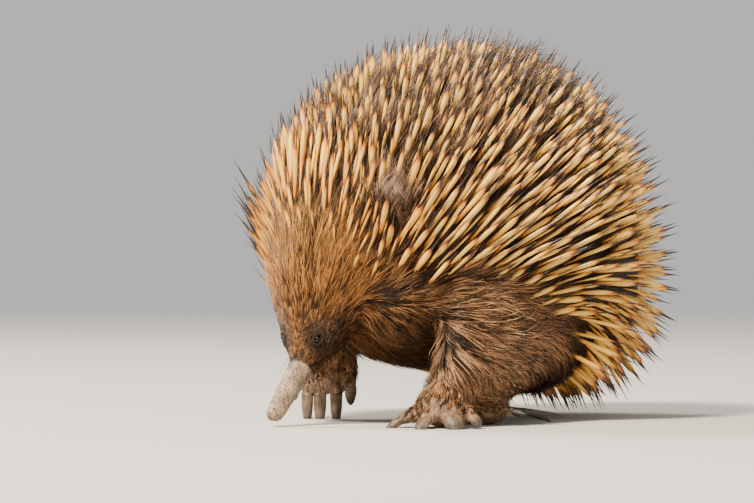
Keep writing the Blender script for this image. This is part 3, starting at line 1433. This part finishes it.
class Nodes:
    """A material's node tree, with short calls to add to it."""

    def __init__(self, name, roughness, specular):
        self.material = bpy.data.materials.new(name)
        self.material.use_nodes = True
        self.tree = self.material.node_tree
        self.shader = self.tree.nodes["Principled BSDF"]
        self.feed(self.shader, {"Roughness": roughness, "Specular IOR Level": specular})

    def feed(self, node, inputs):
        """Sets a node's inputs to values, or joins them to other nodes' outputs."""
        for key, value in inputs.items():
            if isinstance(value, bpy.types.NodeSocket):
                self.tree.links.new(value, node.inputs[key])
            else:
                node.inputs[key].default_value = value

    def add(self, kind, inputs, output=0, **settings):
        """The output of a new node."""
        node = self.tree.nodes.new(kind)
        for key, value in settings.items():
            setattr(node, key, value)
        self.feed(node, inputs)
        return node.outputs[output]

    def place(self, scale=(1, 1, 1)):
        """Object coordinates, stretched by the scale."""
        spot = self.add("ShaderNodeTexCoord", {}, "Object")
        return self.add("ShaderNodeMapping", {"Vector": spot, "Scale": scale})

    def noise(self, scale, detail, stretched=(1, 1, 1)):
        inputs = {"Vector": self.place(stretched), "Scale": scale, "Detail": detail}
        return self.add("ShaderNodeTexNoise", inputs, "Fac")

    def cells(self, scale):
        """Distances from the edges of small cells, as on scaly skin."""
        inputs = {"Vector": self.place(), "Scale": scale}
        return self.add("ShaderNodeTexVoronoi", inputs, "Distance", feature="DISTANCE_TO_EDGE")

    def texture(self, scale, detail=None, tall=1):
        """Uneven values, or small cells where no detail is given."""
        return self.noise(scale, detail, (1, 1, tall)) if detail else self.cells(scale)

    def range(self, value, low, high, start=0.0, end=1.0, kind="LINEAR"):
        """A value from start to end turned into one from low to high."""
        inputs = {"Value": value, "To Min": low, "To Max": high, "From Min": start, "From Max": end}
        return self.add("ShaderNodeMapRange", inputs, "Result", interpolation_type=kind)

    def tint(self):
        return self.add("ShaderNodeVertexColor", {}, "Color", layer_name="Tint")

    def times(self, colour, value):
        """A colour made lighter or darker by a value."""
        return self.add("ShaderNodeVectorMath", {0: colour, "Scale": value}, operation="SCALE")

    def mix(self, share, first, second):
        inputs = {0: share, 6: (*first, 1), 7: (*second, 1)}
        return self.add("ShaderNodeMix", inputs, 2, data_type="RGBA")

    def colour(self, source):
        self.feed(self.shader, {"Base Color": source})

    def bump(self, height, strength, distance):
        inputs = {"Height": height, "Strength": strength, "Distance": distance}
        self.feed(self.shader, {"Normal": self.add("ShaderNodeBump", inputs)})


def coat_material(name):
    """Fur, spine, skin or claw: the points' tint, made uneven by textures, and its relief."""
    roughness, specular, textures, relief = MATERIALS[name]
    nodes = Nodes(name, roughness, specular)
    colour = nodes.tint()
    for texture, *span in textures:
        colour = nodes.times(colour, nodes.range(nodes.texture(*texture), *span))
    nodes.colour(colour)
    if relief:
        texture, strength, distance = relief
        nodes.bump(nodes.texture(*texture), strength, distance)
    return nodes.material


def eye_material():
    """Almost black and glossy."""
    nodes = Nodes("eye", 0.08, 0.30)
    nodes.colour(nodes.mix(nodes.noise(500, 2), *EYE_COLOURS))
    return nodes.material


def floor_material():
    """Pale near the model, and lit evenly far off so that no horizon shows."""
    nodes = Nodes("floor", 0.9, 0.1)
    nodes.colour(nodes.mix(nodes.noise(3, 3), *FLOOR_COLOURS))
    gap = nodes.add("ShaderNodeVectorMath", {0: nodes.place()}, "Value", operation="LENGTH")
    far = nodes.range(gap, 0.0, 1.0, *FLOOR_FADE, "SMOOTHERSTEP")
    glow = nodes.add("ShaderNodeEmission", {"Color": (*SKY, 1), "Strength": SKY_STRENGTH})
    surface = nodes.add("ShaderNodeMixShader", {0: far, 1: nodes.shader.outputs[0], 2: glow})
    nodes.feed(nodes.tree.nodes["Material Output"], {"Surface": surface})
    return nodes.material


# The whole model


def place(obj, material, slot, *replaced):
    """Moves a piece into the solids' frame and registers it."""
    obj.data.transform(Matrix.Translation(-CENTRE))
    obj.data.materials.clear()
    obj.data.materials.append(material)
    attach(obj, "root")
    if replaced:
        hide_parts(*replaced)


def flesh_nodes():
    names = ["torso", "head", "beak", "tail"]
    for side, _ in SIDES:
        for part in ("foreleg", "hindleg", "forefoot", "hindfoot", "ear"):
            names.append(f"{part}_{side}")
    return names


def tuft_groups(fur):
    """Every group of tufts, with its own part of the skin."""
    label, y = fur.skin.label, fur.points[:, 1]
    above = mantle_height(fur.points) > -0.004
    head = np.isin(label, (HEAD_PART, BEAK_PART)) * 0.010 / fur.length
    trunk = label == TRUNK_PART
    head_or_trunk = np.isin(label, (HEAD_PART, TRUNK_PART)) * 1.0
    crest = 1 + CREST_DENSER * smooth(*CREST, fur.points[:, 2])
    front = np.isin(label, (FORELEG_PART, FOOT_PART)) * (fur.points[:, 0] < -0.045)
    front = np.maximum(front, label == FORELEG_PART)
    hind = np.isin(label, (HINDLEG_PART, FOOT_PART)) * (front == 0)
    return (
        Tufts("fur_head", head * (1 - fur.crown), 4600, 2, "x", 1.25, 1.1, 0.0012, 0.30, 0.75, 1.0),
        Tufts("fur_face", head * (fur.length < 0.011), 3600, 1, "x", 0.9, 1.0, 0.0009, 0.30, 0.4, 0.7),
        Tufts("fur_crown", head * fur.crown, 1100, 2, "x", 1.2, 1.1, 0.0013, 0.30, 0.6, 0.8),
        Tufts("fur_ear", head_or_trunk * fur.ear, 240, 3, "x", 1.1, 1.0, 0.0012, 0.25, 0.8, 0.8),
        Tufts("fur_mantle", trunk * above * crest, 2900, 2, "x", 1.1, 1.1, 0.0016, 0.30, 0.6, 0.9),
        Tufts("fur_flank", trunk * ~above, 2300, 2, "x", 1.05, 1.2, 0.0013, 0.25, 0.85, 1.0),
        Tufts("fur_foreleg_left", front * (y < 0), 2200, 3, "z", 1.05, 1.3, 0.0012, 0.20, 0.88, 1.0),
        Tufts("fur_foreleg_right", front * (y > 0), 600, 2, "z", 1.0, 1.2, 0.0014, 0.30, 0.8, 1.0),
        Tufts("fur_hindleg_left", hind * (y < 0), 700, 2, "z", 1.0, 1.2, 0.0014, 0.30, 0.8, 1.0),
        Tufts("fur_hindleg_right", hind * (y > 0), 700, 2, "z", 1.0, 1.2, 0.0014, 0.30, 0.8, 1.0),
        Tufts("fur_tail", 1.0 * (label == TAIL_PART), 200, 2, "x", 1.0, 1.2, 0.0014, 0.35, 0.7, 1.0),
    )


def build_coat(fur, material, spikes):
    rng = np.random.default_rng(SEED)
    for tufts in tuft_groups(fur):
        slot = "leg_fur" if "leg" in tufts.name else "fur_and_spines"
        for piece in grow_fur(fur, tufts, rng):
            place(piece, material, slot)
    x, y, z = fur.points.T
    label, height = fur.skin.label, mantle_height(fur.points)
    mantle = (label == TRUNK_PART) * (height > 0)
    under = (x > RUMP_FROM) * (z < RUMP_TOP) * ((height > 0) | (np.abs(y) > RUMP_APART))
    rump = under * np.isin(label, (TRUNK_PART, HINDLEG_PART))
    crown = (label == HEAD_PART) * (crown_height(fur.points) > 0)
    mantle = np.maximum(mantle, crown * (z > CROWN_TOP))
    crown = crown * (z < CROWN_TOP)
    mantle, crown = (region * (fur.ear_gap > EAR_CLEAR) for region in (mantle, crown))
    groups = (
        ("spines_rump", RUMP_SPINES, rump, 7),
        ("spines_long", LONG_SPINES, mantle, 8),
        ("spines_crown", CROWN_SPINES, crown, 6),
        ("spines_middle", MIDDLE_SPINES, mantle, 6),
        ("spines_thin", THIN_SPINES, mantle + 0.7 * crown, 5),
    )
    taken = np.zeros((0, 3))
    for name, growth, weights, sides in groups:
        pieces, roots = grow_spines(name, fur, growth, weights * 1.0, taken, sides, rng)
        taken = np.concatenate([taken, roots])
        for piece in pieces:
            place(piece, spikes, "fur_and_spines")


def build_claws():
    horn = coat_material("claw")
    for claw, node, limb, share in make_claws():
        base, end = (np.array(colour) for colour in CLAW_COLOURS[limb])
        set_tint(claw.data, base + (end - base) * smooth(0.15, 0.85, share)[:, None])
        claw.data.shade_smooth()
        place(claw, horn, f"{limb}_claw", node)


def build_stage():
    """A wide pale floor under an even pale sky, with a soft key, a fill and a rim light."""
    mesh = bmesh.new()
    bmesh.ops.create_circle(mesh, cap_ends=True, radius=60, segments=96)
    floor = object_of("floor", mesh)
    floor.data.materials.append(floor_material())
    world = bpy.data.worlds.new("studio")
    world.use_nodes = True
    background = world.node_tree.nodes["Background"]
    background.inputs["Color"].default_value = (*SKY, 1)
    background.inputs["Strength"].default_value = SKY_STRENGTH
    bpy.context.scene.world = world
    for name, spot, size, watts, colour in LAMPS:
        lamp = bpy.data.lights.new(name, "AREA")
        lamp.size, lamp.energy, lamp.color = size, watts, colour
        holder = add_object(name, lamp)
        holder.location = spot
        aim = Vector((0, 0, 0.1)) - holder.location
        holder.rotation_euler = aim.to_track_quat("-Z", "Y").to_euler()


def build_camera():
    """A camera at the photograph's angle, with its frame and scale."""
    turn, tilt = CAMERA_AZIMUTH, CAMERA_ELEVATION
    back = Vector((math.sin(turn) * math.cos(tilt), -math.cos(turn) * math.cos(tilt), math.sin(tilt)))
    right = Vector((math.cos(turn), math.sin(turn), 0))
    up = back.cross(right)
    depth = Vector((-math.sin(turn), math.cos(turn), 0))
    width, height = PHOTO
    aside = (width / 2 - ORIGIN_PIXEL[0]) * METRES_PER_PIXEL - CENTRE.dot(right)
    above = (ORIGIN_PIXEL[1] - height / 2) * METRES_PER_PIXEL - CENTRE.dot(depth) * math.sin(tilt)
    camera = bpy.data.cameras.new("camera")
    holder = add_object("camera", camera)
    holder.location = right * aside + up * above + back * CAMERA_DISTANCE
    holder.rotation_mode = "QUATERNION"
    holder.rotation_quaternion = (-back).to_track_quat("-Z", "Y")
    camera.sensor_width = SENSOR
    camera.lens = SENSOR * CAMERA_DISTANCE / (width * METRES_PER_PIXEL)
    bpy.context.scene.camera = holder


def build():
    skin = make_skin()
    skin.write()
    skin.fold = np.zeros(len(skin.points))
    carve_ears(skin)
    carve_face(skin)
    wrinkle_beak(skin)
    wrinkle_feet(skin)
    skin.points[:, 2] = np.maximum(skin.points[:, 2], FLOOR)
    skin.write()
    fur = Fur(skin)
    set_tint(skin.obj.data, fur.bare)
    skin.obj.data.shade_smooth()
    build_coat(fur, coat_material("fur"), coat_material("spine"))
    place(skin.obj, coat_material("skin"), "foot_skin", *flesh_nodes())
    build_claws()
    glossy = eye_material()
    for eye, node in make_eyes():
        eye.data.shade_smooth()
        place(eye, glossy, "eye", node)


build_camera()
build_stage()
build()
